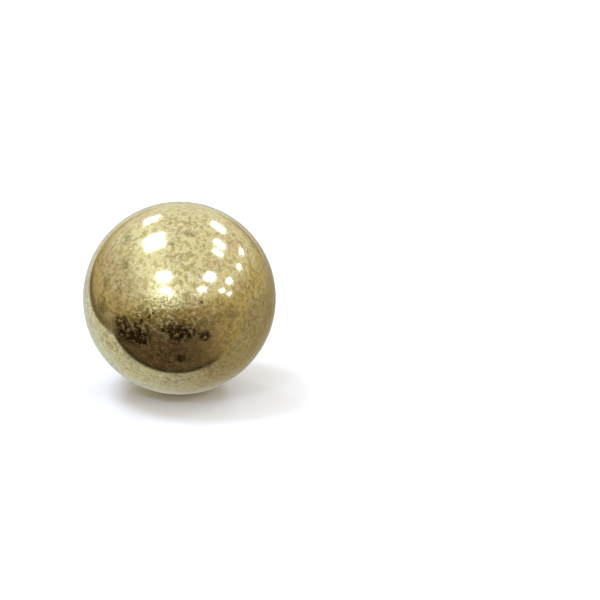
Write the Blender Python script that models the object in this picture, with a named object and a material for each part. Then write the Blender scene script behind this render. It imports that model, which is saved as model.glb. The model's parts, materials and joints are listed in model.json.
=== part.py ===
"""Ball stud earring: a hollow brass ball, an ear post with a cup, and a butterfly clutch pushed on the post.

The earring lies on a level surface as an unworn stud does, on the underside of its ball and the lower back
edges of its clutch. The surface is Z = 0. The earring runs along Y: the face of the ball looks towards -Y and
a little upwards, and the post runs back from it and slopes down. The origin is on the surface, under the
middle of the whole earring.

Each piece is drawn in the stud's own frame, where the centre of the ball is the origin and the post lies
along +Y. An empty carries that frame and tips it into the resting position.
"""

from math import asin, atan2, cos, hypot, pi, radians, sin

import bmesh
import bpy

MM = 0.001

# Ball: a hollow ball of thin sheet brass, with one hole at the back for the peg of the post.
BALL_DIAMETER = 14.0 * MM
BALL_WALL = 0.4 * MM

# Post: one turned piece. Its peg stands in the ball's hole, and its cup is cemented to the back of the ball.
PEG_DIAMETER = 1.2 * MM
PEG_CLEARANCE = 0.1 * MM
PEG_REACH = 1.0 * MM
PEG_CHAMFER = 0.15 * MM
CUP_DIAMETER = 4.0 * MM
CUP_FLOOR = 0.35 * MM
CUP_EDGE_ROUND = 0.2 * MM
CEMENT_GAP = 0.05 * MM
POST_DIAMETER = 0.8 * MM
POST_LENGTH = 11.0 * MM
POST_ROOT_FILLET = 0.25 * MM
NOTCH_FROM_TIP = 2.2 * MM
NOTCH_WIDTH = 0.6 * MM
NOTCH_DEPTH = 0.1 * MM

# Clutch: one strip of sheet, flat in the middle, with each end rolled up against the post.
STRIP_THICKNESS = 0.3 * MM
STRIP_EDGE_ROUND = 0.06 * MM
PLATE_WIDTH = 4.8 * MM
ARM_WIDTH = 3.6 * MM
STRIP_END_WIDTH = 2.8 * MM
CLUTCH_DEPTH = 3.2 * MM
ROLL_SHOULDER = 0.3 * MM
CURL_RADIUS = 0.75 * MM
CURL_TURN = radians(200.0)
GRIP_CLEARANCE = 0.1 * MM
DIMPLE_DIAMETER = 1.9 * MM
DIMPLE_DEPTH = 0.15 * MM

# How finely round forms are divided.
BALL_SIDES = 56
BALL_OUTER_STEPS = 28
BALL_INNER_STEPS = 12
POST_SIDES = 20
CUP_STEPS = 4
FILLET_STEPS = 4
TIP_STEPS = 4
PLATE_STEPS = 6
ROLL_STEPS = 14
CURL_STEPS = 12
STRIP_ROUND_STEPS = 2
SHARP_ANGLE = radians(35.0)
STRIP_EDGE_ANGLE = radians(60.0)
MERGE_DISTANCE = 0.001 * MM

# Places along the post, measured from the centre of the ball.
BALL_RADIUS = BALL_DIAMETER / 2
POST_RADIUS = POST_DIAMETER / 2
CUP_SEAT_RADIUS = BALL_RADIUS + CEMENT_GAP
CUP_BACK = CUP_SEAT_RADIUS + CUP_FLOOR
TIP = BALL_RADIUS + POST_LENGTH
NOTCH_MIDDLE = TIP - NOTCH_FROM_TIP

# The clutch's rolls follow the strip's middle line, and their curls close on the notch of the post.
ROLL_RADIUS = (CLUTCH_DEPTH - STRIP_THICKNESS) / 2
CURL_X = POST_RADIUS + GRIP_CLEARANCE + STRIP_THICKNESS / 2 + CURL_RADIUS
ROLL_X = CURL_X + ROLL_SHOULDER
PLATE_MIDDLE = NOTCH_MIDDLE - 2 * ROLL_RADIUS + CURL_RADIUS
CLUTCH_FRONT = PLATE_MIDDLE - STRIP_THICKNESS / 2
CLUTCH_BACK = CLUTCH_FRONT + CLUTCH_DEPTH


def clear_scene():
    """Removes every object that the scene starts with."""
    for thing in list(bpy.data.objects):
        bpy.data.objects.remove(thing)


def metal(name, colour, roughness):
    """A plain metal of one colour."""
    material = bpy.data.materials.new(name)
    material.use_nodes = True
    shader = material.node_tree.nodes["Principled BSDF"]
    shader.inputs["Base Color"].default_value = (*colour, 1.0)
    shader.inputs["Metallic"].default_value = 1.0
    shader.inputs["Roughness"].default_value = roughness
    material.diffuse_color = (*colour, 1.0)
    return material


def arc(centre, radius, start, end, steps):
    """Points of an arc from one angle to another, both ends included, as (first, second) pairs."""
    turns = [start + (end - start) * step / steps for step in range(steps + 1)]
    return [(centre[0] + radius * cos(turn), centre[1] + radius * sin(turn)) for turn in turns]


def smooth_round(mesh):
    """Shades round faces smooth and keeps true edges sharp."""
    mesh.shade_smooth()
    mesh.set_sharp_from_angle(angle=SHARP_ANGLE)


def add_piece(name, shape, material, stud):
    """Makes a bmesh in the stud's frame into one named object carried by the stud's empty."""
    mesh = bpy.data.meshes.new(name)
    bmesh.ops.recalc_face_normals(shape, faces=shape.faces)
    shape.to_mesh(mesh)
    shape.free()
    smooth_round(mesh)
    piece = bpy.data.objects.new(name, mesh)
    bpy.context.scene.collection.objects.link(piece)
    piece.data.materials.append(material)
    piece.parent = stud
    return piece


def turned(profile, sides):
    """A solid turned about the Y axis from (along Y, radius) points that start and end on the axis."""
    shape = bmesh.new()
    corners = [shape.verts.new((radius, along, 0.0)) for along, radius in profile]
    edges = [shape.edges.new(pair) for pair in zip(corners, corners[1:])]
    bmesh.ops.spin(
        shape,
        geom=corners + edges,
        cent=(0.0, 0.0, 0.0),
        axis=(0.0, 1.0, 0.0),
        angle=2 * pi,
        steps=sides,
        use_merge=True,
    )
    bmesh.ops.remove_doubles(shape, verts=shape.verts, dist=MERGE_DISTANCE)
    return shape


def ball_profile():
    """The outer face from its front pole to the hole, then the inner face back to its front pole."""
    hole_radius = PEG_DIAMETER / 2 + PEG_CLEARANCE
    inner_radius = BALL_RADIUS - BALL_WALL
    outer_edge = asin(hole_radius / BALL_RADIUS)
    inner_edge = asin(hole_radius / inner_radius)
    outer = arc((0.0, 0.0), BALL_RADIUS, pi, outer_edge, BALL_OUTER_STEPS)
    inner = arc((0.0, 0.0), inner_radius, inner_edge, pi, BALL_INNER_STEPS)
    outer[0] = (-BALL_RADIUS, 0.0)
    inner[-1] = (-inner_radius, 0.0)
    return outer + inner


def post_profile():
    """The peg, the cup that fits the ball, the post with its notch, and the rounded tip."""
    peg_radius = PEG_DIAMETER / 2
    cup_radius = CUP_DIAMETER / 2
    peg_front = BALL_RADIUS - BALL_WALL - PEG_REACH
    seat_start = asin(peg_radius / CUP_SEAT_RADIUS)
    seat_end = asin(cup_radius / CUP_SEAT_RADIUS)
    edge_round = (CUP_BACK - CUP_EDGE_ROUND, cup_radius - CUP_EDGE_ROUND)
    root = (CUP_BACK + POST_ROOT_FILLET, POST_RADIUS + POST_ROOT_FILLET)
    notch_front = NOTCH_MIDDLE - NOTCH_WIDTH / 2
    notch_back = NOTCH_MIDDLE + NOTCH_WIDTH / 2
    notch_radius = POST_RADIUS - NOTCH_DEPTH
    profile = [(peg_front, 0.0), (peg_front, peg_radius - PEG_CHAMFER), (peg_front + PEG_CHAMFER, peg_radius)]
    profile += arc((0.0, 0.0), CUP_SEAT_RADIUS, seat_start, seat_end, CUP_STEPS)
    profile += arc(edge_round, CUP_EDGE_ROUND, pi / 2, 0.0, FILLET_STEPS)
    profile += arc(root, POST_ROOT_FILLET, pi, 3 * pi / 2, FILLET_STEPS)
    profile += [(notch_front, POST_RADIUS), (notch_front + NOTCH_DEPTH, notch_radius)]
    profile += [(notch_back - NOTCH_DEPTH, notch_radius), (notch_back, POST_RADIUS)]
    profile += arc((TIP - POST_RADIUS, 0.0), POST_RADIUS, pi / 2, 0.0, TIP_STEPS)
    profile[-1] = (TIP, 0.0)
    return profile


def strip_width(share):
    """The strip's width from its middle, share 0, to where its end starts to roll up, share 1."""
    fall = (1 - cos(pi * share)) / 2
    return PLATE_WIDTH + (ARM_WIDTH - PLATE_WIDTH) * fall


def strip_half():
    """Stations of the strip from its middle to one end: x and y of its middle line, heading and width."""
    stations = []
    for step in range(PLATE_STEPS + 1):
        share = step / PLATE_STEPS
        stations.append((ROLL_X * share, PLATE_MIDDLE, 0.0, strip_width(share)))
    roll_centre = (ROLL_X, PLATE_MIDDLE + ROLL_RADIUS)
    for step, (x, y) in enumerate(arc(roll_centre, ROLL_RADIUS, -pi / 2, pi / 2, ROLL_STEPS)[1:], 1):
        stations.append((x, y, pi * step / ROLL_STEPS, ARM_WIDTH))
    curl_centre = (CURL_X, PLATE_MIDDLE + 2 * ROLL_RADIUS - CURL_RADIUS)
    curl_end = pi / 2 + CURL_TURN
    for step, (x, y) in enumerate(arc(curl_centre, CURL_RADIUS, pi / 2, curl_end, CURL_STEPS)[1:], 1):
        share = step / CURL_STEPS
        width = ARM_WIDTH + (STRIP_END_WIDTH - ARM_WIDTH) * share**2
        stations.append((x, y, pi + CURL_TURN * share, width))
    return stations


def strip_section(shape, x, y, heading, width):
    """The four corners of the strip's section at one station."""
    side = (-sin(heading) * STRIP_THICKNESS / 2, cos(heading) * STRIP_THICKNESS / 2)
    section = []
    for face, edge in ((-1, -1), (1, -1), (1, 1), (-1, 1)):
        section.append(shape.verts.new((x + face * side[0], y + face * side[1], edge * width / 2)))
    return section


def rolled_strip():
    """The whole strip, lofted through the sections from one rolled end to the other."""
    half = strip_half()
    mirrored = [(-x, y, -heading, width) for x, y, heading, width in reversed(half[1:])]
    shape = bmesh.new()
    sections = [strip_section(shape, *station) for station in mirrored + half]
    for near, far in zip(sections, sections[1:]):
        for corner in range(4):
            following = (corner + 1) % 4
            shape.faces.new((near[corner], near[following], far[following], far[corner]))
    shape.faces.new(sections[0])
    shape.faces.new(sections[-1])
    return shape


def clutch_hole_profile():
    """The hole for the post and its cone-shaped dimple, both run on past the strip for a clean cut."""
    hole_radius = POST_RADIUS + GRIP_CLEARANCE
    dimple_radius = DIMPLE_DIAMETER / 2
    dimple_floor = CLUTCH_FRONT + DIMPLE_DEPTH
    slope = (dimple_radius - hole_radius) / DIMPLE_DEPTH
    front = CLUTCH_FRONT - STRIP_THICKNESS
    back = CLUTCH_FRONT + 2 * STRIP_THICKNESS
    return [
        (front, 0.0),
        (front, dimple_radius + slope * STRIP_THICKNESS),
        (dimple_floor, hole_radius),
        (back, hole_radius),
        (back, 0.0),
    ]


def round_strip_edges(clutch):
    """Takes the sharpness off the long edges of the strip."""
    bevel = clutch.modifiers.new("edge_round", "BEVEL")
    bevel.width = STRIP_EDGE_ROUND
    bevel.segments = STRIP_ROUND_STEPS
    bevel.limit_method = "ANGLE"
    bevel.angle_limit = STRIP_EDGE_ANGLE


def pierce_clutch(clutch, stud):
    """Cuts the dimple and the hole for the post through the flat of the clutch."""
    shape = turned(clutch_hole_profile(), POST_SIDES)
    cutter = add_piece("clutch_hole_cutter", shape, clutch.data.materials[0], stud)
    cutter.hide_render = True
    cutter.display_type = "WIRE"
    hole = clutch.modifiers.new("post_hole", "BOOLEAN")
    hole.operation = "DIFFERENCE"
    hole.solver = "EXACT"
    hole.object = cutter


def resting_tilt():
    """How far the post slopes down when the ball and the clutch, or the post's tip, lie on the surface."""
    low_points = (
        (CLUTCH_BACK, ARM_WIDTH / 2),
        (CLUTCH_FRONT, PLATE_WIDTH / 2),
        (TIP - POST_RADIUS, POST_RADIUS),
    )
    return min(asin(BALL_RADIUS / hypot(along, below)) - atan2(below, along) for along, below in low_points)


def lay_down(stud):
    """Tips the stud's frame until the earring rests, with the middle of its length over the origin."""
    tilt = resting_tilt()
    post_reach = (TIP - POST_RADIUS) * cos(tilt) + POST_RADIUS
    clutch_reach = CLUTCH_BACK * cos(tilt) + ARM_WIDTH / 2 * sin(tilt)
    length_behind = max(post_reach, clutch_reach)
    stud.location = (0.0, (BALL_RADIUS - length_behind) / 2, BALL_RADIUS)
    stud.rotation_euler = (-tilt, 0.0, 0.0)


def main():
    """Builds the three pieces and lays the earring down."""
    clear_scene()
    stud = bpy.data.objects.new("stud_frame", None)
    bpy.context.scene.collection.objects.link(stud)
    aged_brass = metal("aged_brass", (0.60, 0.47, 0.20), 0.30)
    bright_brass = metal("bright_brass", (0.72, 0.56, 0.26), 0.22)
    add_piece("ball", turned(ball_profile(), BALL_SIDES), aged_brass, stud)
    add_piece("post", turned(post_profile(), POST_SIDES), bright_brass, stud)
    clutch = add_piece("clutch", rolled_strip(), bright_brass, stud)
    round_strip_edges(clutch)
    pierce_clutch(clutch, stud)
    lay_down(stud)


main()
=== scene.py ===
"""The looks of the ball stud earring: an aged brass ball, its ear post and its butterfly clutch.

Every piece is drawn in the stud's own frame, where the centre of the ball is the origin and the post lies
along +Y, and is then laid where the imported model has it. Sizes are in metres, written as millimetres
times MM.
"""

import json
import logging
from dataclasses import dataclass
from enum import Enum
from math import asin, cos, pi, radians, sin
from typing import Iterable, Sequence, Union

import bmesh
import bpy
from mathutils import Matrix, Vector, noise

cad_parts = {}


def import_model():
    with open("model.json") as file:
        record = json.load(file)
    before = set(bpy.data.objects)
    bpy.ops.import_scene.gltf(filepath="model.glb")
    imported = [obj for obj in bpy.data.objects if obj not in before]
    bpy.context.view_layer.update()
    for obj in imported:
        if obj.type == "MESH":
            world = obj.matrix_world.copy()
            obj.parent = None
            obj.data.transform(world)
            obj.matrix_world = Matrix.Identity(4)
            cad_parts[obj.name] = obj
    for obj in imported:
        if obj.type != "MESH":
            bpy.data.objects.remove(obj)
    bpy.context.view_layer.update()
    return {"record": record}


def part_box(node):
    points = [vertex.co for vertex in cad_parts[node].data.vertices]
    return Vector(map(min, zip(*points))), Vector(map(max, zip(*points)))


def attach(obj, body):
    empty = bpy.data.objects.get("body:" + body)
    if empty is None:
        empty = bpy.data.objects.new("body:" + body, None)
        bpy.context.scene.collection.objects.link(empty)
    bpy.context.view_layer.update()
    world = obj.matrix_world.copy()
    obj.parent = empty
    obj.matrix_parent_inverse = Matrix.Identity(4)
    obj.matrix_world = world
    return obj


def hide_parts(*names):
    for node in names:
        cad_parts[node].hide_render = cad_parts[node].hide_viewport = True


MM = 0.001
TURNED_MERGE = 0.0005 * MM
LOG = logging.getLogger("ball_stud")

Colour = tuple[float, float, float]
Point = tuple[float, float]


class Node(Enum):
    """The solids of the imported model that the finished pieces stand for."""

    BALL = "ball"
    POST = "post"
    CLUTCH = "clutch"


class Slot(Enum):
    """The material slots of the record."""

    BALL = "aged_brass"
    POST = "post_brass"
    CLUTCH = "clutch_brass"


class Channel:
    """A socket of a node that takes part in Python arithmetic, adding a Math node for each step."""

    def __init__(self, bench: "NodeBench", socket: bpy.types.NodeSocket) -> None:
        """Wraps one output socket.

        Args:
            bench: The bench that owns the node.
            socket: The output socket.
        """
        self.bench = bench
        self.socket = socket

    def __add__(self, other: "Value") -> "Channel":
        """Sum of two values."""
        return self.bench.math("ADD", self, other)

    def __radd__(self, other: "Value") -> "Channel":
        """Sum with a plain number on the left."""
        return self.bench.math("ADD", other, self)

    def __sub__(self, other: "Value") -> "Channel":
        """Difference of two values."""
        return self.bench.math("SUBTRACT", self, other)

    def __rsub__(self, other: "Value") -> "Channel":
        """Difference from a plain number."""
        return self.bench.math("SUBTRACT", other, self)

    def __mul__(self, other: "Value") -> "Channel":
        """Product of two values."""
        return self.bench.math("MULTIPLY", self, other)

    def __rmul__(self, other: "Value") -> "Channel":
        """Product with a plain number on the left."""
        return self.bench.math("MULTIPLY", other, self)

    def step(self, start: float, end: float) -> "Channel":
        """A soft step of this value.

        Args:
            start: Where the result is 0.
            end: Where the result is 1. It may lie below start.

        Returns:
            The step's value, from 0 to 1.
        """
        flat, risen = (0.0, 1.0) if start < end else (1.0, 0.0)
        sockets = {"Value": self, "From Min": min(start, end), "From Max": max(start, end)}
        sockets |= {"To Min": flat, "To Max": risen}
        return self.bench.node("ShaderNodeMapRange", {"interpolation_type": "SMOOTHSTEP"}, sockets)


Value = Union[Channel, float, Sequence[float]]


class NodeBench:
    """Adds nodes to one node tree, whose values are used as Python expressions."""

    def __init__(self, tree: bpy.types.NodeTree) -> None:
        """Opens a node tree.

        Args:
            tree: The node tree to work in.
        """
        self.tree = tree

    def node(
        self,
        kind: str,
        settings: dict[str, object],
        sockets: dict[Union[str, int], Value],
        output: Union[str, int] = 0,
    ) -> Channel:
        """Adds one node.

        Args:
            kind: The node's type.
            settings: The node's own settings, which are set first.
            sockets: Values or links for the input sockets, by name or number.
            output: The output socket that is wanted, by name or number.

        Returns:
            The output as a channel.
        """
        made = self.tree.nodes.new(kind)
        for name, setting in settings.items():
            setattr(made, name, setting)
        for name, value in sockets.items():
            socket = made.inputs[name]
            if isinstance(value, Channel):
                self.tree.links.new(value.socket, socket)
            else:
                socket.default_value = value
        return Channel(self, made.outputs[output])

    def math(self, operation: str, first: Value, second: Value) -> Channel:
        """A Math node on two values."""
        return self.node("ShaderNodeMath", {"operation": operation}, {0: first, 1: second})

    def vector(self, operation: str, first: Value, second: Value, output: Union[str, int] = 0) -> Channel:
        """A Vector Math node on two vectors."""
        return self.node("ShaderNodeVectorMath", {"operation": operation}, {0: first, 1: second}, output)

    def blend(self, share: Value, under: Value, over: Value) -> Channel:
        """Mixes two colours.

        Args:
            share: How much of the second colour shows, from 0 to 1.
            under: The first colour, as a channel or (red, green, blue).
            over: The second colour, as a channel or (red, green, blue).

        Returns:
            The mixed colour.
        """
        sockets = {0: share, 6: self.opaque(under), 7: self.opaque(over)}
        return self.node("ShaderNodeMix", {"data_type": "RGBA"}, sockets, 2)

    def opaque(self, colour: Value) -> Value:
        """A plain colour with full alpha. A channel stays as it is."""
        return colour if isinstance(colour, Channel) else (*colour, 1.0)

    def noise(self, where: Channel, scale: float, detail: float, roughness: float) -> Channel:
        """Noise in space.

        Args:
            where: The place that it is read at.
            scale: How many lumps there are to a unit of length.
            detail: How many finer layers it has.
            roughness: How strong the finer layers are.

        Returns:
            The noise, about 0.5 on average.
        """
        sockets = {"Vector": where, "Scale": scale, "Detail": detail, "Roughness": roughness}
        return self.node("ShaderNodeTexNoise", {}, sockets, "Fac")

    def stir(self, where: Channel, scale: float, reach: float) -> Channel:
        """Shifts a place to and fro by noise, so that a pattern read there loses its regularity.

        Args:
            where: The place to shift.
            scale: How many lumps the shift has to a unit of length.
            reach: How far it shifts at most, in units of length.

        Returns:
            The shifted place.
        """
        sockets = {"Vector": where, "Scale": scale, "Detail": 2.0}
        swirl = self.node("ShaderNodeTexNoise", {}, sockets, "Color")
        centred = self.vector("SUBTRACT", swirl, (0.5, 0.5, 0.5))
        span = 2 * reach
        return self.vector("ADD", where, self.vector("MULTIPLY", centred, (span, span, span)))

    def bump(self, height: Channel, relief: float) -> Channel:
        """A Bump node that raises a surface by up to a distance in metres."""
        sockets = {"Strength": 1.0, "Distance": relief, "Height": height}
        return self.node("ShaderNodeBump", {}, sockets)


@dataclass(frozen=True)
class StudPlace:
    """Where the stud lies in the world."""

    centre: Vector
    radius: float
    axis: Vector

    @classmethod
    def from_frame(cls, record: dict) -> "StudPlace":
        """Reads the stud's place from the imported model.

        Args:
            record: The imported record, whose mount behind the ball faces along the post.

        Returns:
            The place.
        """
        low, high = (Vector(corner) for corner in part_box(Node.BALL.value))
        mounts = {mount["name"]: mount for mount in record["mounts"]}
        return cls((low + high) / 2, max(high - low) / 2, Vector(mounts["lobe_front"]["axis"]).normalized())

    @property
    def above(self) -> Vector:
        """The direction that points out of the top of the stud, square to the post."""
        return Vector((1.0, 0.0, 0.0)).cross(self.axis)

    @property
    def matrix(self) -> Matrix:
        """Turns and moves the stud's frame into the world."""
        turned = Matrix((Vector((1.0, 0.0, 0.0)), self.axis, self.above)).transposed().to_4x4()
        return Matrix.Translation(self.centre) @ turned

    def pattern(self, bench: NodeBench) -> Channel:
        """Places on a piece in millimetres in the stud's frame, for patterns.

        Args:
            bench: The bench of the material.

        Returns:
            The place as a vector.
        """
        spot = bench.node("ShaderNodeTexCoord", {}, {}, "Object")
        turn = self.matrix.to_euler()
        sockets = {"Vector": spot, "Location": self.centre, "Rotation": turn, "Scale": (MM, MM, MM)}
        return bench.node("ShaderNodeMapping", {"vector_type": "TEXTURE"}, sockets)


def arc(centre: Point, radius: float, start: float, end: float, steps: int) -> list[Point]:
    """Points along an arc.

    Args:
        centre: The arc's centre.
        radius: Its radius.
        start: The angle of its first point, in radians.
        end: The angle of its last point.
        steps: How many chords it has.

    Returns:
        The points, both ends included.
    """
    turns = [start + (end - start) * step / steps for step in range(steps + 1)]
    return [(centre[0] + radius * cos(turn), centre[1] + radius * sin(turn)) for turn in turns]


def turned_solid(profile: Iterable[Point], sides: int) -> bmesh.types.BMesh:
    """Spins an outline about the post's axis.

    Args:
        profile: (place along the post, radius) points that start and end on the axis.
        sides: How many sides the solid has.

    Returns:
        The closed solid.
    """
    shape = bmesh.new()
    corners = [shape.verts.new((radius, along, 0.0)) for along, radius in profile]
    edges = [shape.edges.new(pair) for pair in zip(corners, corners[1:])]
    bmesh.ops.spin(
        shape,
        geom=corners + edges,
        cent=(0.0, 0.0, 0.0),
        axis=(0.0, 1.0, 0.0),
        angle=2 * pi,
        steps=sides,
        use_merge=True,
    )
    bmesh.ops.remove_doubles(shape, verts=shape.verts, dist=TURNED_MERGE)
    bmesh.ops.recalc_face_normals(shape, faces=shape.faces)
    return shape


def mesh_from(name: str, shape: bmesh.types.BMesh) -> bpy.types.Mesh:
    """Turns a shape into a mesh and frees the shape.

    Args:
        name: The mesh's name.
        shape: The shape. It is freed.

    Returns:
        The mesh.
    """
    mesh = bpy.data.meshes.new(name)
    shape.to_mesh(mesh)
    shape.free()
    return mesh


def put_in_scene(name: str, data: bpy.types.ID) -> bpy.types.Object:
    """Makes an object and puts it in the scene.

    Args:
        name: The object's name.
        data: Its mesh, light or camera.

    Returns:
        The object.
    """
    made = bpy.data.objects.new(name, data)
    bpy.context.scene.collection.objects.link(made)
    return made


def lay_piece(
    name: str,
    shape: bmesh.types.BMesh,
    place: StudPlace,
    material: bpy.types.Material,
    sharp_angle: float,
) -> bpy.types.Object:
    """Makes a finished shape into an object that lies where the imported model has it.

    Args:
        name: The object's name.
        shape: The shape in the stud's frame. It is freed.
        place: Where the stud lies.
        material: The finish.
        sharp_angle: Edges that turn by more than this stay sharp, in radians.

    Returns:
        The object, at the origin, with its place in its mesh.
    """
    bmesh.ops.transform(shape, matrix=place.matrix, verts=shape.verts)
    mesh = mesh_from(name, shape)
    mesh.shade_smooth()
    mesh.set_sharp_from_angle(angle=sharp_angle)
    mesh.materials.append(material)
    return put_in_scene(name, mesh)


def stand_in_for(piece: bpy.types.Object, node: Node) -> None:
    """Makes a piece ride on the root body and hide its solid.

    Args:
        piece: The finished piece.
        node: The solid that it replaces.
    """
    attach(piece, "root")
    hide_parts(node.value)


def new_shader(name: str) -> tuple[bpy.types.Material, NodeBench, bpy.types.Node]:
    """Starts a material.

    Args:
        name: The material's name.

    Returns:
        The material, its bench and its Principled shader.
    """
    material = bpy.data.materials.new(name)
    material.use_nodes = True
    return material, NodeBench(material.node_tree), material.node_tree.nodes["Principled BSDF"]


def feed(bench: NodeBench, shader: bpy.types.Node, sockets: dict[str, Value]) -> None:
    """Sets or links sockets of a shader.

    Args:
        bench: The bench that the shader stands on.
        shader: The shader.
        sockets: Values or links by socket name.
    """
    for name, value in sockets.items():
        if isinstance(value, Channel):
            bench.tree.links.new(value.socket, shader.inputs[name])
        else:
            shader.inputs[name].default_value = value


@dataclass(frozen=True)
class SurfacePatch:
    """A patch on the face of the ball, in millimetres right of and above its middle: a stain, a painted
    dark reflection, tan, wear or rubbing.
    """

    across: float
    up: float
    half_width: float
    half_height: float
    strength: float
    fade: Point = (1.0, 0.25)

    def mask(self, bench: NodeBench, spot: Channel, radius: float) -> Channel:
        """How strongly the stain shows.

        Args:
            bench: The bench of the material.
            spot: The place on the ball in millimetres in the stud's frame.
            radius: The ball's radius in millimetres.

        Returns:
            The strength, falling to 0 at the stain's edge.
        """
        out = -((radius**2 - self.across**2 - self.up**2) ** 0.5)
        shrink = (1 / self.half_width, 1 / max(self.half_width, self.half_height), 1 / self.half_height)
        offset = bench.vector("SUBTRACT", spot, (self.across, out, self.up))
        far = bench.vector("LENGTH", bench.vector("MULTIPLY", offset, shrink), (0.0, 0.0, 0.0), "Value")
        return far.step(*self.fade) * self.strength


@dataclass(frozen=True)
class Marking:
    """One kind of marking in the brass.

    It shows between two values of its noise, by a share that grows where the markings are dense.
    """

    per_mm: float
    detail: float = 2.0
    roughness: float = 0.5
    swirl_per_mm: float = 0.0
    swirl_reach: float = 0.0
    edges: Point = (0.0, 1.0)
    share: float = 1.0
    dense_share: float = 0.0

    def pattern(self, bench: NodeBench, spot: Channel) -> Channel:
        """The marking's noise, read at a stirred place if the marking has a swirl.

        Args:
            bench: The bench of the material.
            spot: The place on the piece in millimetres.

        Returns:
            The noise.
        """
        if self.swirl_reach:
            spot = bench.stir(spot, self.swirl_per_mm, self.swirl_reach)
        return bench.noise(spot, self.per_mm, self.detail, self.roughness)

    def shown(self, pattern: Channel, dense: Channel) -> Channel:
        """How strongly the marking shows.

        Args:
            pattern: The marking's noise, or a value made from it.
            dense: How dense the markings are there, from 0 to 1.

        Returns:
            The strength, from 0 to 1.
        """
        return pattern.step(*self.edges) * (self.share + self.dense_share * dense)


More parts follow.
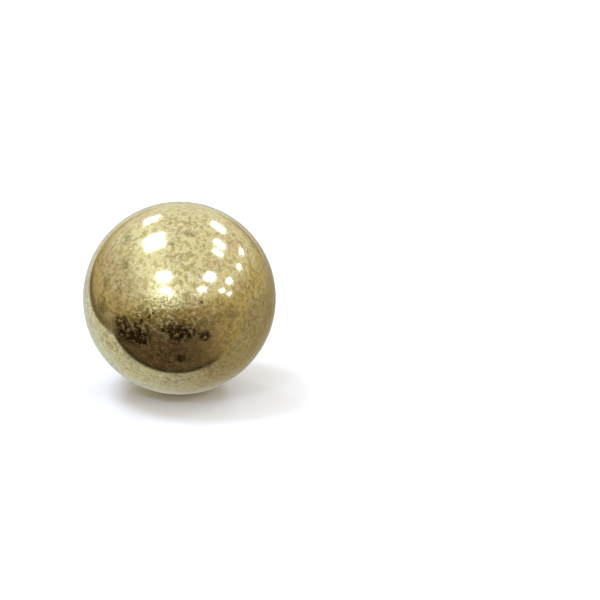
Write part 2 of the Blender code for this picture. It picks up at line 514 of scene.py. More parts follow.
@dataclass(frozen=True)
class AgedBrass:
    """Old polished sheet brass: pale gold, etched with fine olive and cream mottling, umber stains and
    painted dark reflections.
    """

    pale: Colour = (0.94, 0.84, 0.455)
    cream: Colour = (1.0, 0.95, 0.65)
    olive: Colour = (0.38, 0.30, 0.09)
    tan: Colour = (0.80, 0.60, 0.38)
    umber_stain_and_reflection: Colour = (0.07, 0.045, 0.02)
    polish: float = 0.098
    patina: float = 0.08
    scoured: float = 0.24
    oxide: float = 0.14
    relief: float = 0.026 * MM
    calm: float = 0.02
    side_calm: float = 0.45
    side_start: Point = (-4.4, -2.2)
    area: Marking = Marking(per_mm=0.55, edges=(0.34, 0.60), share=0.4)
    grain: Marking = Marking(
        per_mm=2.8,
        detail=3.0,
        roughness=0.55,
        swirl_per_mm=1.4,
        swirl_reach=0.22,
        edges=(0.52, 0.37),
        share=0.50,
        dense_share=0.34,
    )
    fleck: Marking = Marking(
        per_mm=3.9,
        detail=1.5,
        swirl_per_mm=3.0,
        swirl_reach=0.12,
        edges=(0.46, 0.38),
        share=0.30,
        dense_share=0.30,
    )
    glint: Marking = Marking(
        per_mm=3.0,
        swirl_per_mm=2.0,
        swirl_reach=0.15,
        edges=(0.50, 0.62),
        share=0.62,
        dense_share=0.32,
    )
    vein: Marking = Marking(
        per_mm=1.6,
        detail=1.0,
        swirl_per_mm=2.6,
        swirl_reach=0.16,
        edges=(0.035, 0.008),
        share=0.44,
        dense_share=0.34,
    )
    dent: Marking = Marking(per_mm=3.3, detail=1.0, swirl_per_mm=2.2, swirl_reach=0.10)
    blotch: Marking = Marking(
        per_mm=0.62,
        detail=3.0,
        roughness=0.55,
        swirl_per_mm=0.7,
        swirl_reach=0.5,
        edges=(0.50, 0.64),
        share=0.8,
    )
    stroke_edges: Point = (0.56, 0.48)
    scour_edges: Point = (0.47, 0.56)
    patch_edges: Point = (0.34, 0.52)
    speck_edges: Point = (0.53, 0.60)
    soot_and_reflection_edges: Point = (0.61, 0.47)
    worn_density: float = 0.5
    worn_glint: float = 0.46
    worn_speck: float = 0.38
    worn_patina: float = 0.5
    soot_and_reflection_share: float = 0.85
    darkest: float = 0.95
    tan_share: float = 0.70
    tan_dull: float = 0.04
    worn: SurfacePatch = SurfacePatch(across=-0.7, up=-1.3, half_width=5.6, half_height=2.5, strength=1.0)
    rubbed: SurfacePatch = SurfacePatch(across=-0.8, up=-4.5, half_width=5.0, half_height=1.5, strength=0.30)
    # Umber stains and, on the lower front, painted dark reflection: near-black blobs where the dark room in
    # front of the ball is mirrored.
    marked_areas: tuple[SurfacePatch, ...] = (
        SurfacePatch(across=-3.2, up=-2.5, half_width=1.9, half_height=1.2, strength=1.0),
        SurfacePatch(across=0.1, up=-2.5, half_width=1.6, half_height=1.0, strength=1.0),
        SurfacePatch(across=-4.1, up=-1.6, half_width=0.9, half_height=0.5, strength=0.9),
        SurfacePatch(across=-2.7, up=-2.9, half_width=1.2, half_height=0.8, strength=0.9),
        SurfacePatch(across=-1.0, up=-4.2, half_width=3.8, half_height=1.5, strength=0.35),
        SurfacePatch(across=1.7, up=-0.3, half_width=0.3, half_height=0.3, strength=0.4),
        SurfacePatch(across=2.0, up=-2.7, half_width=0.7, half_height=0.5, strength=1.0),
        SurfacePatch(across=-2.4, up=-1.2, half_width=1.8, half_height=0.8, strength=0.34),
        SurfacePatch(across=0.2, up=-4.3, half_width=0.6, half_height=0.4, strength=0.6),
        SurfacePatch(across=3.8, up=-1.0, half_width=1.0, half_height=0.6, strength=0.35),
        SurfacePatch(across=-5.4, up=-0.4, half_width=0.6, half_height=1.0, strength=0.5),
        SurfacePatch(across=-5.1, up=1.2, half_width=0.5, half_height=0.9, strength=0.35),
        SurfacePatch(across=-3.7, up=2.4, half_width=0.5, half_height=0.6, strength=0.35),
        SurfacePatch(across=-3.6, up=4.2, half_width=0.9, half_height=0.8, strength=0.35),
        SurfacePatch(across=-0.4, up=3.8, half_width=0.3, half_height=0.6, strength=0.22),
        SurfacePatch(across=0.0, up=2.8, half_width=0.8, half_height=0.4, strength=0.35),
        SurfacePatch(across=0.9, up=4.6, half_width=0.7, half_height=0.4, strength=0.30),
        SurfacePatch(across=2.9, up=2.4, half_width=0.4, half_height=0.4, strength=0.35),
    )
    tanned: tuple[SurfacePatch, ...] = (
        SurfacePatch(across=-4.0, up=0.3, half_width=1.7, half_height=1.5, strength=0.9),
        SurfacePatch(across=-4.9, up=3.3, half_width=1.2, half_height=1.8, strength=0.7),
        SurfacePatch(across=0.7, up=-1.5, half_width=1.3, half_height=0.6, strength=0.9),
        SurfacePatch(across=1.2, up=6.2, half_width=2.0, half_height=0.8, strength=0.6),
        SurfacePatch(across=4.4, up=3.4, half_width=0.8, half_height=1.4, strength=0.6),
    )

    def make(self, name: str, place: StudPlace) -> bpy.types.Material:
        """Builds the material.

        Args:
            name: The material's name.
            place: Where the stud lies, for the pattern's own frame.

        Returns:
            The material.
        """
        material, bench, shader = new_shader(name)
        spot = place.pattern(bench)
        grain = self.grain.pattern(bench, spot)
        fine = self.fleck.pattern(bench, spot)
        glint = self.glint.pattern(bench, spot)
        vein = self.vein.pattern(bench, spot)
        dents = self.dent.pattern(bench, spot)
        area = self.area.pattern(bench, spot)
        blotch = self.blotch.pattern(bench, spot)

        radius = place.radius / MM
        worn = self.worn.mask(bench, spot, radius)
        stain_and_reflection_mask = self.joint_mask(bench, spot, radius, self.marked_areas)
        dense = area.step(*self.area.edges) * self.area.share + worn * self.worn_density
        along = bench.node("ShaderNodeSeparateXYZ", {}, {0: spot}, "Y")
        clean = 1 - self.rubbed.mask(bench, spot, radius)
        clean = clean * (1 - self.side_calm * along.step(*self.side_start))
        mottle = self.grain.shown(grain, dense) * clean
        fleck = self.fleck.shown(fine, dense) * clean
        brightness = self.glint.share + self.glint.dense_share * dense - self.worn_glint * worn
        bright = glint.step(*self.glint.edges) * brightness * clean
        line = bench.math("ABSOLUTE", vein - 0.5, 0.0)
        stroke = self.vein.shown(line, dense) * fine.step(*self.stroke_edges) * clean
        scour = glint.step(*self.scour_edges) * worn
        patches = self.joint_mask(bench, spot, radius, self.tanned)
        clouds = blotch.step(*self.blotch.edges) * self.blotch.share
        tanned = bench.math("MAXIMUM", clouds, patches * blotch.step(*self.patch_edges))
        # Painted dark reflection and stains: umber specks and near-black blobs over the marked areas, the
        # specks also where worn.
        speck = fine.step(*self.speck_edges) * (stain_and_reflection_mask + self.worn_speck * worn)
        soot_and_reflection = glint.step(*self.soot_and_reflection_edges) * stain_and_reflection_mask
        spotted = bench.math("MINIMUM", speck + self.soot_and_reflection_share * soot_and_reflection, self.darkest)

        colour = bench.blend(tanned * self.tan_share, self.pale, self.tan)
        colour = bench.blend(bright, colour, self.cream)
        colour = bench.blend(mottle, colour, self.olive)
        colour = bench.blend(bench.math("MAXIMUM", fleck, stroke), colour, self.olive)
        colour = bench.blend(spotted, colour, self.umber_stain_and_reflection)

        dull = self.polish + self.patina * (0.65 * mottle + 0.35 * fleck) * (1 - self.worn_patina * worn)
        dull = dull + self.scoured * scour + self.tan_dull * tanned
        height = (dents - 0.5) * (self.calm + (1 - self.calm) * worn)
        bump = bench.bump(height, self.relief)
        metal = 1 - self.oxide * (0.7 * mottle + 0.3 * scour)
        feed(bench, shader, {"Base Color": colour, "Metallic": metal, "Roughness": dull, "Normal": bump})
        return material

    def joint_mask(
        self, bench: NodeBench, spot: Channel, radius: float, marked_areas: Sequence[SurfacePatch]
    ) -> Channel:
        """Several marked areas together.

        Args:
            bench: The bench of the material.
            spot: The place on the ball in millimetres in the stud's frame.
            radius: The ball's radius in millimetres.
            marked_areas: The patches.

        Returns:
            The strength of the patches there.
        """
        masks = [stain.mask(bench, spot, radius) for stain in marked_areas]
        total = masks[0]
        for mask in masks[1:]:
            total = total + mask
        return bench.math("MINIMUM", total, 1.0)


@dataclass(frozen=True)
class DrawnBrass:
    """Bright brass of the hidden findings, with fine lines and a little tarnish."""

    bright: Colour = (0.87, 0.72, 0.38)
    dusk: Colour = (0.50, 0.36, 0.15)
    pit: Colour = (0.16, 0.10, 0.05)
    lines: tuple[float, float, float] = (1.0, 14.0, 1.0)
    drawn: Marking = Marking(per_mm=1.6, detail=3.0, roughness=0.6, edges=(0.62, 0.40), share=0.18)
    cloud: Marking = Marking(
        per_mm=1.1,
        detail=3.0,
        roughness=0.55,
        swirl_per_mm=0.9,
        swirl_reach=0.3,
        edges=(0.48, 0.68),
        share=0.55,
    )
    pits: Marking = Marking(per_mm=7.0, edges=(0.66, 0.74), share=0.3, dense_share=0.7)
    pit_share: float = 0.6
    polish: float = 0.20
    relief: float = 0.003 * MM

    def make(self, name: str, place: StudPlace) -> bpy.types.Material:
        """Builds the material.

        Args:
            name: The material's name.
            place: Where the stud lies, for the pattern's own frame.

        Returns:
            The material.
        """
        material, bench, shader = new_shader(name)
        spot = place.pattern(bench)
        drawn = self.drawn.pattern(bench, bench.vector("MULTIPLY", spot, self.lines))
        cloud = self.cloud.pattern(bench, spot)
        pits = self.pits.pattern(bench, spot)

        tarnish = cloud.step(*self.cloud.edges)
        pitted = self.pits.shown(pits, tarnish)
        colour = bench.blend(tarnish * self.cloud.share, self.bright, self.dusk)
        colour = bench.blend(drawn.step(*self.drawn.edges) * self.drawn.share, colour, self.dusk)
        colour = bench.blend(pitted * self.pit_share, colour, self.pit)
        dull = self.polish + 0.12 * tarnish + 0.10 * drawn.step(0.4, 0.7) + 0.2 * pitted
        height = drawn * 0.8 + cloud * 0.4 - pitted * 0.4
        bump = bench.bump(height, self.relief)
        feed(bench, shader, {"Base Color": colour, "Metallic": 1.0, "Roughness": dull, "Normal": bump})
        return material


@dataclass(frozen=True)
class Paper:
    """Smooth white paper."""

    white: Colour = (0.96, 0.92, 0.84)
    dull: float = 0.9
    sheen: float = 0.1

    def make(self, name: str) -> bpy.types.Material:
        """Builds the material.

        Args:
            name: The material's name.

        Returns:
            The material.
        """
        material, bench, shader = new_shader(name)
        feed(bench, shader, {"Base Color": (*self.white, 1.0), "Roughness": self.dull})
        feed(bench, shader, {"Specular IOR Level": self.sheen})
        return material


@dataclass
class HollowBall:
    """The ball: a thin shell with one hole at the back, a little uneven as pressed sheet is."""

    place: StudPlace
    finish: AgedBrass
    wall: float = 0.4 * MM
    hole_radius: float = 0.7 * MM
    outer_divisions: int = 7
    inner_divisions: int = 5
    swell: float = 0.006 * MM
    swell_length: float = 3.2 * MM
    ripple: float = 0.0012 * MM
    ripple_length: float = 0.8 * MM
    ripple_shift: Vector = Vector((9.0, 4.0, 2.0))
    cut_tolerance: float = 0.0001 * MM
    sharp_angle: float = radians(50.0)

    def build(self) -> bpy.types.Object:
        """Builds and dresses the ball.

        Returns:
            The ball.
        """
        shape = self.pierced_sphere(self.place.radius, self.outer_divisions)
        self.unsettle(shape)
        inner = self.pierced_sphere(self.place.radius - self.wall, self.inner_divisions)
        bmesh.ops.reverse_faces(inner, faces=inner.faces)
        self.join(shape, inner)
        rims = [edge for edge in shape.edges if edge.is_boundary]
        bmesh.ops.bridge_loops(shape, edges=rims)
        bmesh.ops.recalc_face_normals(shape, faces=shape.faces)
        material = self.finish.make("ball_aged_brass", self.place)
        piece = lay_piece("ball_skin", shape, self.place, material, self.sharp_angle)
        stand_in_for(piece, Node.BALL)
        return piece

    def pierced_sphere(self, radius: float, divisions: int) -> bmesh.types.BMesh:
        """An even sphere with the hole cut at its back.

        Args:
            radius: The sphere's radius.
            divisions: How often its faces are divided.

        Returns:
            The open sphere.
        """
        shape = bmesh.new()
        bmesh.ops.create_icosphere(shape, subdivisions=divisions, radius=radius)
        back = radius * cos(asin(self.hole_radius / radius))
        geometry = shape.verts[:] + shape.edges[:] + shape.faces[:]
        bmesh.ops.bisect_plane(
            shape,
            geom=geometry,
            dist=self.cut_tolerance,
            plane_co=(0.0, back, 0.0),
            plane_no=(0.0, 1.0, 0.0),
            clear_outer=True,
        )
        return shape

    def unsettle(self, shape: bmesh.types.BMesh) -> None:
        """Presses the sphere in by a few thousandths of a millimetre here and there.

        Args:
            shape: The outer sphere.
        """
        for vertex in shape.verts:
            spot = vertex.co.copy()
            swell = noise.noise(spot / self.swell_length) - 1.0
            ripple = noise.noise(spot / self.ripple_length + self.ripple_shift) - 1.0
            vertex.co += spot.normalized() * (self.swell * swell + self.ripple * ripple) / 2

    def join(self, shape: bmesh.types.BMesh, other: bmesh.types.BMesh) -> None:
        """Adds another shape's faces to a shape.

        Args:
            shape: The shape that grows.
            other: The shape that is added. It is freed.
        """
        mesh = mesh_from("ball_inner", other)
        shape.from_mesh(mesh)
        bpy.data.meshes.remove(mesh)


@dataclass
class EarPost:
    """The post: a peg in the ball's hole, a cup that hugs the ball, and a notched wire with a round tip."""

    place: StudPlace
    finish: DrawnBrass
    ball_wall: float = 0.4 * MM
    peg_radius: float = 0.6 * MM
    peg_reach: float = 1.0 * MM
    peg_chamfer: float = 0.15 * MM
    cup_radius: float = 2.0 * MM
    cup_floor: float = 0.35 * MM
    cup_edge: float = 0.2 * MM
    cement_gap: float = 0.05 * MM
    wire_radius: float = 0.4 * MM
    wire_length: float = 11.0 * MM
    root_fillet: float = 0.25 * MM
    notch_from_tip: float = 2.2 * MM
    notch_width: float = 0.6 * MM
    notch_depth: float = 0.1 * MM
    notch_steepness: float = 2.2
    notch_steps: int = 12
    cup_steps: int = 10
    edge_steps: int = 8
    tip_steps: int = 14
    sides: int = 72
    sharp_angle: float = radians(38.0)

    @property
    def tip(self) -> float:
        """How far behind the ball's centre the post ends."""
        return self.place.radius + self.wire_length

    @property
    def notch_middle(self) -> float:
        """Where the middle of the notch is."""
        return self.tip - self.notch_from_tip

    def profile(self) -> list[Point]:
        """The post's outline.

        Returns:
            (place along the post, radius) points from the peg's end to the tip.
        """
        seat = self.place.radius + self.cement_gap
        back = seat + self.cup_floor
        peg_front = self.place.radius - self.ball_wall - self.peg_reach
        chamfer = self.peg_chamfer
        edge = (back - self.cup_edge, self.cup_radius - self.cup_edge)
        root = (back + self.root_fillet, self.wire_radius + self.root_fillet)
        start = asin(self.peg_radius / seat)
        end = asin(self.cup_radius / seat)
        points = [(peg_front, 0.0), (peg_front, self.peg_radius - chamfer)]
        points += [(peg_front + chamfer, self.peg_radius)]
        points += arc((0.0, 0.0), seat, start, end, self.cup_steps)
        points += arc(edge, self.cup_edge, pi / 2, 0.0, self.edge_steps)
        points += arc(root, self.root_fillet, pi, 3 * pi / 2, self.edge_steps)
        points += self.notch()
        points += arc((self.tip - self.wire_radius, 0.0), self.wire_radius, pi / 2, 0.0, self.tip_steps)
        points[-1] = (self.tip, 0.0)
        return points

    def notch(self) -> list[Point]:
        """The outline of the friction notch, a shallow round-bottomed groove.

        Returns:
            (place along the post, radius) points.
        """
        half = self.notch_width / 2
        points = []
        for step in range(self.notch_steps + 1):
            share = step / self.notch_steps
            depth = self.notch_depth * min(1.0, self.notch_steepness * sin(pi * share))
            points.append((self.notch_middle - half + self.notch_width * share, self.wire_radius - depth))
        return points

    def build(self) -> bpy.types.Object:
        """Builds and dresses the post.

        Returns:
            The post.
        """
        shape = turned_solid(self.profile(), self.sides)
        material = self.finish.make("post_drawn_brass", self.place)
        piece = lay_piece("post_turned", shape, self.place, material, self.sharp_angle)
        stand_in_for(piece, Node.POST)
        return piece


@dataclass
class ButterflyClutch:
    """The clutch: one strip, flat in the middle round its hole, each end rolled up against the post."""

    place: StudPlace
    finish: DrawnBrass
    post: EarPost
    thickness: float = 0.3 * MM
    edge_round: float = 0.06 * MM
    plate_width: float = 4.8 * MM
    arm_width: float = 3.6 * MM
    end_width: float = 2.8 * MM
    depth: float = 3.2 * MM
    shoulder: float = 0.3 * MM
    curl_radius: float = 0.75 * MM
    curl_turn: float = radians(200.0)
    grip: float = 0.1 * MM
    dimple_radius: float = 0.95 * MM
    dimple_depth: float = 0.15 * MM
    lip: float = 0.03 * MM
    lip_flare: float = 0.09 * MM
    lip_edge: float = 0.02 * MM
    seam_merge: float = 0.001 * MM
    corner_angle: float = radians(60.0)
    sharp_angle: float = radians(38.0)
    hole_sides: int = 64
    edge_segments: int = 3
    across: int = 8
    plate_steps: int = 14
    roll_steps: int = 36
    curl_steps: int = 30

    @property
    def roll_radius(self) -> float:
        """The radius of the big roll, at the middle of the strip's thickness."""
        return (self.depth - self.thickness) / 2

    @property
    def plate(self) -> float:
        """Where the flat plate's middle layer stands along the post."""
        return self.post.notch_middle - 2 * self.roll_radius + self.curl_radius

    @property
    def curl_x(self) -> float:
        """How far out the axis of the small curl is."""
        return self.post.wire_radius + self.grip + self.thickness / 2 + self.curl_radius

    def build(self) -> bpy.types.Object:
        """Builds and dresses the clutch.

        Returns:
            The clutch.
        """
        shape = self.half_strip()
        geometry = shape.verts[:] + shape.edges[:] + shape.faces[:]
        bmesh.ops.mirror(shape, geom=geometry, axis="X", merge_dist=self.seam_merge)
        bmesh.ops.remove_doubles(shape, verts=shape.verts, dist=self.seam_merge)
        bmesh.ops.recalc_face_normals(shape, faces=shape.faces)
        self.thicken(shape)
        self.pierce(shape)
        material = self.finish.make("clutch_stamped_brass", self.place)
        piece = lay_piece("clutch_strip", shape, self.place, material, self.sharp_angle)
        stand_in_for(piece, Node.CLUTCH)
        return piece

    def half_strip(self) -> bmesh.types.BMesh:
        """Half of the strip's middle layer, drawn out edge by edge from the middle to one end.

        Returns:
            The open sheet.
        """
        shape = bmesh.new()
        start = [shape.verts.new((0.0, self.plate, share - 0.5)) for share in self.shares(self.across)]
        line = [shape.edges.new(pair) for pair in zip(start, start[1:])]
        roll_x = self.curl_x + self.shoulder
        roll_centre = Vector((roll_x, self.plate + self.roll_radius, 0.0))
        curl_centre = Vector((self.curl_x, self.plate + 2 * self.roll_radius - self.curl_radius, 0.0))
        out = Matrix.Translation((roll_x / self.plate_steps, 0.0, 0.0))
        back = Matrix.Translation((-self.shoulder, 0.0, 0.0))
        roll = self.turn_about(roll_centre, pi / self.roll_steps)
        curl = self.turn_about(curl_centre, self.curl_turn / self.curl_steps)
        stations = [(out, self.plate_share(share)) for share in self.shares(self.plate_steps)[1:]]
        stations += [(roll, self.arm_width)] * self.roll_steps
        stations += [(back, self.arm_width)]
        for share in self.shares(self.curl_steps)[1:]:
            stations.append((curl, self.arm_width + (self.end_width - self.arm_width) * share**2))
        self.set_width(line, self.plate_width)
        for move, width in stations:
            drawn = bmesh.ops.extrude_edge_only(shape, edges=line)["geom"]
            line = [item for item in drawn if isinstance(item, bmesh.types.BMEdge)]
            fresh = [item for item in drawn if isinstance(item, bmesh.types.BMVert)]
            bmesh.ops.transform(shape, matrix=move, verts=fresh)
            self.set_width(line, width)
        return shape

    def shares(self, steps: int) -> list[float]:
        """Even shares from 0 to 1, both included."""
        return [step / steps for step in range(steps + 1)]

    def plate_share(self, share: float) -> float:
        """The strip's width from its middle, share 0, to where it starts to roll up, share 1."""
        return self.plate_width + (self.arm_width - self.plate_width) * (1 - cos(pi * share)) / 2

    def turn_about(self, centre: Vector, angle: float) -> Matrix:
        """A turn about a line through a point, parallel to the strip's width."""
        return Matrix.Translation(centre) @ Matrix.Rotation(angle, 4, "Z") @ Matrix.Translation(-centre)

    def set_width(self, line: Sequence[bmesh.types.BMEdge], width: float) -> None:
        """Spreads the points of one cross line evenly over a width.

        Args:
            line: The edges of the line.
            width: The width in metres.
        """
        points = sorted({vertex for edge in line for vertex in edge.verts}, key=lambda vertex: vertex.co.z)
        for share, vertex in zip(self.shares(len(points) - 1), points):
            vertex.co.z = (share - 0.5) * width

    def thicken(self, shape: bmesh.types.BMesh) -> None:
        """Gives the sheet its thickness to both sides and rounds its long edges.

        Args:
            shape: The open sheet.
        """
        for vertex in shape.verts:
            vertex.normal_update()
        for face in shape.faces:
            face.normal_update()
        geometry = shape.verts[:] + shape.edges[:] + shape.faces[:]
        normals = {vertex: vertex.normal.copy() for vertex in shape.verts}
        for vertex, normal in normals.items():
            vertex.co += normal * self.thickness / 2
        bmesh.ops.solidify(shape, geom=geometry, thickness=self.thickness)
        bmesh.ops.recalc_face_normals(shape, faces=shape.faces)
        long_edges = [edge for edge in shape.edges if edge.calc_face_angle(0.0) > self.corner_angle]
        bmesh.ops.bevel(
            shape,
            geom=long_edges,
            offset=self.edge_round,
            affect="EDGES",
            segments=self.edge_segments,
            profile=0.5,
            material=-1,
        )

    def pierce(self, shape: bmesh.types.BMesh) -> None:
        """Cuts the hole for the post, which opens into a dimple towards the ear.

        Args:
            shape: The closed strip.
        """
        hole = self.post.wire_radius + self.grip
        front = self.plate - self.thickness / 2
        floor = front + self.dimple_depth
        past = self.thickness
        slope = (self.dimple_radius - hole) / self.dimple_depth
        outline = [(front - past, 0.0), (front - past, self.dimple_radius + slope * past)]
        outline += [(front, self.dimple_radius), (floor - self.lip, hole + self.lip_flare)]
        outline += [(floor, hole + self.lip_edge), (floor + self.lip, hole)]
        outline += [(front + self.thickness + past, hole), (front + self.thickness + past, 0.0)]
        cutter_mesh = mesh_from("clutch_hole_cutter", turned_solid(outline, self.hole_sides))
        cutter = put_in_scene("clutch_hole_cutter", cutter_mesh)
        strip = put_in_scene("clutch_blank", mesh_from("clutch_blank", shape.copy()))
        cut = strip.modifiers.new("hole", "BOOLEAN")
        cut.operation = "DIFFERENCE"
        cut.solver = "EXACT"
        cut.object = cutter
        pierced = strip.evaluated_get(bpy.context.evaluated_depsgraph_get()).to_mesh()
        shape.clear()
        shape.from_mesh(pierced)
        for spare in (strip, cutter):
            mesh = spare.data
            bpy.data.objects.remove(spare)
            bpy.data.meshes.remove(mesh)


@dataclass(frozen=True)
class Panel:
    """One light panel: its place and size in shares of the ceiling's height above the stud."""

    across: float
    behind: float
    width: float
    depth: float


@dataclass
class Ceiling:
    """Light panels in three rows that run from behind the stud towards the camera, in a level ceiling."""

    height: float = 0.6
    radiance: float = 13.0
    tint: Colour = (0.71, 0.85, 1.27)
    panels: tuple[Panel, ...] = (
        Panel(across=-0.48, behind=1.04, width=0.26, depth=0.30),
        Panel(across=-0.44, behind=0.08, width=0.38, depth=0.36),
        Panel(across=-0.41, behind=-1.00, width=0.36, depth=0.30),
        Panel(across=-0.53, behind=-1.98, width=0.32, depth=0.42),
        Panel(across=0.67, behind=0.98, width=0.28, depth=0.34),
        Panel(across=0.77, behind=0.27, width=0.26, depth=0.14),
        Panel(across=0.81, behind=0.00, width=0.25, depth=0.10),
        Panel(across=0.97, behind=-0.91, width=0.34, depth=0.30),
        Panel(across=1.08, behind=-1.74, width=0.28, depth=0.32),
        Panel(across=1.64, behind=0.98, width=0.18, depth=0.24),
        Panel(across=1.98, behind=0.28, width=0.24, depth=0.22),
        Panel(across=2.16, behind=-0.70, width=0.36, depth=0.28),
        Panel(across=2.54, behind=-1.60, width=0.34, depth=0.32),
        Panel(across=4.10, behind=-1.84, width=0.45, depth=0.40),
    )

    def build(self) -> None:
        """Hangs the panels."""
        for number, panel in enumerate(self.panels):
            self.hang(f"panel_{number}", panel)

    def hang(self, name: str, panel: Panel) -> None:
        """Hangs one panel that shines straight down.

        Args:
            name: The light's name.
            panel: Its place and size.
        """
        lamp = bpy.data.lights.new(name, "AREA")
        lamp.shape = "RECTANGLE"
        lamp.size = panel.width * self.height
        lamp.size_y = panel.depth * self.height
        lamp.energy = self.radiance * pi * lamp.size * lamp.size_y
        lamp.color = self.tint
        hung = put_in_scene(name, lamp)
        hung.location = Vector((panel.across, panel.behind, 1.0)) * self.height


@dataclass(frozen=True)
class Room:
    """The soft light of the room round the table, as colours by direction: +X right, +Y behind, +Z up."""

    ceiling: Colour = (0.80, 0.80, 0.74)
    haze: Colour = (1.50, 1.60, 1.60)
    left_wall: Colour = (0.57, 0.53, 0.45)
    right_wall: Colour = (0.70, 0.66, 0.56)
    dusk: Colour = (0.46, 0.375, 0.22)
    shade: Colour = (0.113, 0.077, 0.048)
    table: Colour = (0.40, 0.315, 0.18)
    table_left: Colour = (0.25, 0.215, 0.155)
    paper_edge_shade: Colour = (0.02, 0.014, 0.008)
    rim_line: Colour = (0.10, 0.075, 0.03)
    paper_left: Colour = (0.61, 0.65, 0.68)
    paper_right: Colour = (0.32, 0.27, 0.19)
    paper_back: Colour = (0.76, 0.75, 0.70)
    backdrop: Colour = (0.95, 0.95, 0.95)
    front_edge: Vector = Vector((0.079, 0.989, -0.127))
    left_edge: Vector = Vector((0.480, 0.272, -0.834))
    right_edge: Vector = Vector((-0.479, 0.301, -0.825))
    table_edge: Vector = Vector((-0.243, 0.864, 0.441))
    ahead: Vector = Vector((-0.02, -0.99, -0.02))
    lamp_haze: Vector = Vector((-0.30, -0.84, 0.44))
    lamp_row: Vector = Vector((0.78, 0.0, 0.625))
    left_fade: Point = (-0.35, -0.95)
    right_fade: Point = (0.10, 0.75)
    table_fade: Point = (0.25, 1.05)
    table_left_fade: Point = (-0.55, -0.75)
    dim_cone: Point = (0.88, 0.985)
    glow_cone: Point = (0.92, 1.0)
    sweep_band: Point = (0.45, 0.05)
    paper_edge_shade_band: Point = (-0.17, -0.05)
    rim_line_band: Point = (-0.22, -0.06)
    gap_band: Point = (-0.13, -0.03)
    dusk_levels: Point = (-0.37, 0.09)
    high_levels: Point = (0.02, 0.38)
    dim_share: float = 0.32
    glow_share: float = 0.42
    sweep_share: float = 0.18
    paper_edge_shade_share: float = 0.90
    rim_line_share: float = 0.78
    gap_share: float = 0.62
    low_share: float = 0.22
    warm_share: float = 0.25
    front_inset: float = 0.012
    right_inset: float = 0.05

    def build(self) -> None:
        """Sets the world."""
        world = bpy.data.worlds.new("room")
        world.use_nodes = True
        bpy.context.scene.world = world
        bench = NodeBench(world.node_tree)
        ray = bench.node("ShaderNodeTexCoord", {}, {}, "Generated")
        across, back, up = (bench.node("ShaderNodeSeparateXYZ", {}, {0: ray}, axis) for axis in "XYZ")
        colour = self.walls(bench, ray, (across, back, up))
        colour = self.paper_sheet(bench, ray, colour, (across, back, up))
        seen = bench.node("ShaderNodeLightPath", {}, {}, "Is Camera Ray")
        colour = bench.blend(seen, colour, self.backdrop)
        background = world.node_tree.nodes["Background"]
        world.node_tree.links.new(colour.socket, background.inputs["Color"])

    def towards(self, bench: NodeBench, ray: Channel, way: Vector) -> Channel:
        """The cosine between a ray and a way, or how far the ray is inside an edge of the paper."""
        return bench.vector("DOT_PRODUCT", ray, way.normalized(), "Value")

    def walls(self, bench: NodeBench, ray: Channel, parts: tuple[Channel, Channel, Channel]) -> Channel:
        """The bright ceiling with its lamps' glow, which fades into the unlit room below the table.

        Args:
            bench: The world's bench.
            ray: The ray's direction.
            parts: The ray's X, Y and Z.

        Returns:
            The colour.
        """
        across, back, up = parts
        high = bench.blend(across.step(*self.left_fade), self.ceiling, self.left_wall)
        high = bench.blend(across.step(*self.right_fade), high, self.right_wall)
        low = bench.blend(across.step(*self.table_fade), self.shade, self.table)
        beside = self.towards(bench, ray, self.table_edge).step(-0.05, 0.05)
        beside = beside * across.step(*self.table_left_fade)
        low = bench.blend(beside, low, self.table_left)
        level = up - 0.08 * across.step(0.0, 0.9) + 0.13 * across * back.step(0.3, 0.7)
        level = level + 0.08 * across.step(-0.4, -0.8)
        colour = bench.blend(level.step(*self.dusk_levels), low, self.dusk)
        colour = bench.blend(level.step(*self.high_levels), colour, high)
        dim = self.towards(bench, ray, self.ahead).step(*self.dim_cone)
        colour = bench.blend(dim * self.dim_share, colour, self.shade)
        glow = self.towards(bench, ray, self.lamp_haze).step(*self.glow_cone)
        colour = bench.blend(glow * self.glow_share, colour, self.haze)
        off_row = bench.math("ABSOLUTE", self.towards(bench, ray, self.lamp_row), 0.0)
        sweep = off_row.step(*self.sweep_band) * up.step(0.0, 0.3) * back.step(0.75, 0.45)
        return bench.blend(sweep * self.sweep_share, colour, self.haze)

    def paper_sheet(
        self, bench: NodeBench, ray: Channel, colour: Channel, parts: tuple[Channel, Channel, Channel]
    ) -> Channel:
        """The white paper under and behind the stud, with painted shade along its edges.

        Args:
            bench: The world's bench.
            ray: The ray's direction.
            colour: The colour so far.
            parts: The ray's X, Y and Z.

        Returns:
            The colour.
        """
        across, back, up = parts
        front = self.towards(bench, ray, self.front_edge) - self.front_inset
        left = self.towards(bench, ray, self.left_edge)
        inside = bench.math("MINIMUM", front, left)
        right = self.towards(bench, ray, self.right_edge) - self.right_inset
        sheet = inside.step(-0.008, 0.008)
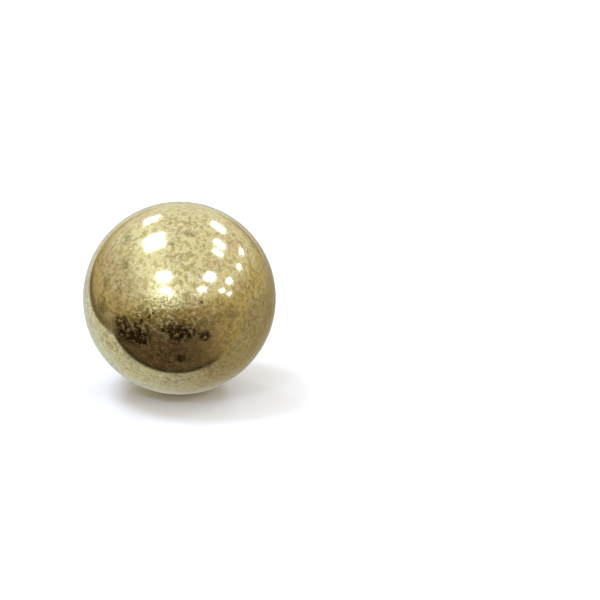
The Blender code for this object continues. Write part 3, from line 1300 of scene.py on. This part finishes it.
        # Painted shade just past the paper's edges: a dark band at its front and left edges, a line beside
        # it and a gap at its right.
        brink = inside.step(*self.paper_edge_shade_band) * (1 - sheet)
        brink = brink * across.step(0.62, 0.42) * up.step(-0.45, -0.60)
        beside = inside.step(*self.rim_line_band) * (1 - sheet) * across.step(0.2, -0.2)
        beside = beside * up.step(0.05, -0.10) * up.step(-0.46, -0.34)
        rightward = right.step(-0.01, 0.01)
        low = up.step(0.12, -0.30)
        kept = rightward + low - rightward * low
        paper = bench.blend(across.step(-0.5, 0.6), self.paper_left, self.paper_right)
        paper = bench.blend(up.step(-0.20, 0.15), paper, self.paper_back)
        colour = bench.blend(brink * self.paper_edge_shade_share, colour, self.paper_edge_shade)
        colour = bench.blend(beside * self.rim_line_share, colour, self.rim_line)
        gap = right.step(*self.gap_band) * (1 - kept) * back.step(0.6, 0.75) * across.step(0.16, 0.34)
        paper = bench.blend(up.step(-0.55, -1.0) * self.low_share, paper, self.shade)
        warm = back.step(0.7, 0.3) * across.step(-0.1, -0.4) * self.warm_share
        paper = bench.blend(warm, paper, self.dusk)
        colour = bench.blend(gap * self.gap_share, colour, self.shade)
        return bench.blend(sheet * kept, colour, paper)


@dataclass
class TableTop:
    """The plain pale floor that the earring lies on."""

    finish: Paper
    size: float = 4.0

    def build(self) -> None:
        """Lays the floor, which isn't mirrored itself: the room has a sheet of paper for that."""
        shape = bmesh.new()
        bmesh.ops.create_grid(shape, x_segments=1, y_segments=1, size=self.size / 2)
        mesh = mesh_from("floor", shape)
        mesh.materials.append(self.finish.make("floor_paper"))
        floor = put_in_scene("floor", mesh)
        floor.visible_glossy = False


@dataclass
class Viewpoint:
    """The camera, which looks along the post at the face of the ball, off to the ball's right."""

    place: StudPlace
    distance: float = 0.30
    sensor: float = 36.0
    frame_pixels: float = 600.0
    ball_radius_pixels: float = 96.5
    ball_centre_pixels: Point = (179.5, 298.0)
    seen_range: Point = (0.01, 10.0)

    def build(self) -> None:
        """Places the camera."""
        pixel = self.place.radius / self.ball_radius_pixels
        right = (self.frame_pixels / 2 - self.ball_centre_pixels[0]) * pixel
        down = (self.frame_pixels / 2 - self.ball_centre_pixels[1]) * pixel
        lens = bpy.data.cameras.new("camera")
        lens.sensor_width = self.sensor
        lens.lens = self.sensor * self.distance / (self.frame_pixels * pixel)
        lens.clip_start, lens.clip_end = self.seen_range
        camera = put_in_scene("camera", lens)
        offset = Vector((right, 0.0, 0.0)) - self.place.above * down
        camera.location = self.place.centre - self.place.axis * self.distance + offset
        camera.rotation_mode = "QUATERNION"
        camera.rotation_quaternion = self.place.axis.to_track_quat("-Z", "Y")
        bpy.context.scene.camera = camera


def main() -> None:
    """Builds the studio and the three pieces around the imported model."""
    logging.basicConfig(level=logging.INFO, format="%(name)s: %(message)s")
    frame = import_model()
    place = StudPlace.from_frame(frame["record"])
    view = bpy.context.scene.view_settings
    view.view_transform = "Standard"
    Viewpoint(place).build()
    TableTop(Paper()).build()
    Ceiling().build()
    Room().build()
    post = EarPost(place, DrawnBrass())
    pieces = [
        HollowBall(place, AgedBrass()).build(),
        post.build(),
        ButterflyClutch(place, DrawnBrass(lines=(1.0, 1.0, 14.0)), post).build(),
    ]
    for piece in pieces:
        LOG.info("%s has %d faces", piece.name, len(piece.data.polygons))


if __name__ == "__main__":
    main()
